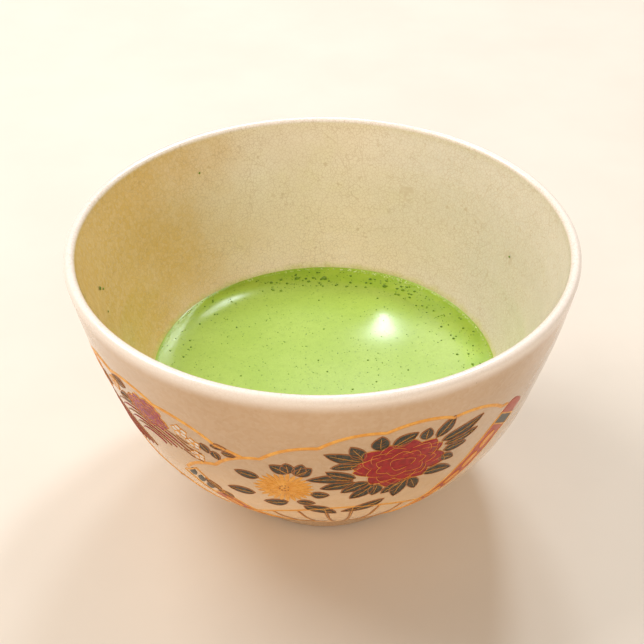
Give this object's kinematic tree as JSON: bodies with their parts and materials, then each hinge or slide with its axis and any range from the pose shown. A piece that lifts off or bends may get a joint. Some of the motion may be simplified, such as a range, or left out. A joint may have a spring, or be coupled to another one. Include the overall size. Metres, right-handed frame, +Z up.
{
  "type": "matcha bowl",
  "caption": "Footed ceramic tea bowl with a crackled glaze, holding whisked green tea under a layer of foam.",
  "frame": {"origin": "centre of the foot ring's flat underside, which is also the centre of the bounding box's bottom face", "axes": "+Z up along the bowl's axis of revolution; +Y away from the side that faces the viewer; +X to that viewer's right"},
  "size_m": [0.122, 0.122, 0.075],
  "materials": {
    "stoneware": "matte",
    "crackle_glaze": "gloss",
    "tea": "gloss",
    "foam": "satin"
  },
  "bodies": {
    "root": {"clay_body": "stoneware", "glaze_coat": "crackle_glaze", "tea": "tea", "foam": "foam"}
  },
  "joints": []
}
